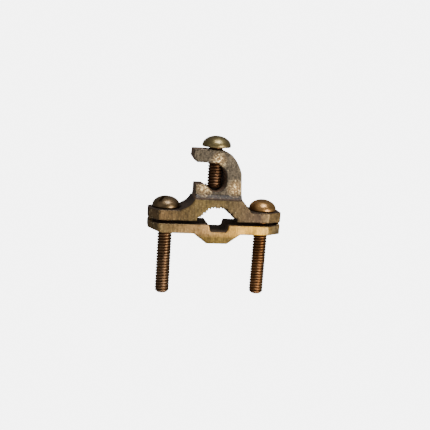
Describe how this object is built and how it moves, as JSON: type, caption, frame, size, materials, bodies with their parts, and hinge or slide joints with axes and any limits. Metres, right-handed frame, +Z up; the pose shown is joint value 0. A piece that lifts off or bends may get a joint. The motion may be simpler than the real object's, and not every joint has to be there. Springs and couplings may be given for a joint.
{
  "type": "earth rod clamp",
  "caption": "Cast bronze earth rod clamp: two jaws drawn together by screws around a rod or pipe, with a lay-in conductor lug and its binding screw on top.",
  "frame": {"origin": "centre of the rod seat, on the plane where the two jaws meet", "axes": "+X along the jaws from the lug's open side to its closed side, +Y along the clamped rod, +Z up from the lower jaw to the lug"},
  "size_m": [0.0582, 0.016, 0.0698],
  "materials": {
    "cast_bronze": "sand-cast bronze, tumbled and lightly tarnished",
    "screw_bronze": "headed and rolled silicon bronze, tarnished"
  },
  "bodies": {
    "upper_jaw": {"upper_jaw": "cast_bronze"},
    "lower_jaw": {"lower_jaw": "cast_bronze"},
    "left_clamp_screw": {"left_clamp_screw": "screw_bronze"},
    "right_clamp_screw": {"right_clamp_screw": "screw_bronze"},
    "binding_screw": {"binding_screw": "screw_bronze"}
  },
  "joints": [
    {"name": "lower_jaw_travel", "type": "slide", "parent": "upper_jaw", "child": "lower_jaw", "axis": [0, 0, -1], "range_m": [0, 0.0254]},
    {"name": "left_clamp_screw_turn", "type": "hinge", "parent": "upper_jaw", "child": "left_clamp_screw", "pos_m": [-0.0214, 0, 0.0051], "axis": [0, 0, 1], "range_deg": [0, 7210]},
    {"name": "right_clamp_screw_turn", "type": "hinge", "parent": "upper_jaw", "child": "right_clamp_screw", "pos_m": [0.0214, 0, 0.0051], "axis": [0, 0, 1], "range_deg": [0, 7210]},
    {"name": "binding_screw_travel", "type": "slide", "parent": "upper_jaw", "child": "binding_screw", "axis": [0, 0, 1], "range_m": [0, 0.0109]}
  ],
  "couplings": [
    {"joint": "left_clamp_screw_turn", "follows": "lower_jaw_travel", "rad_per_m": 4947.4},
    {"joint": "right_clamp_screw_turn", "follows": "lower_jaw_travel", "rad_per_m": 4947.4}
  ]
}
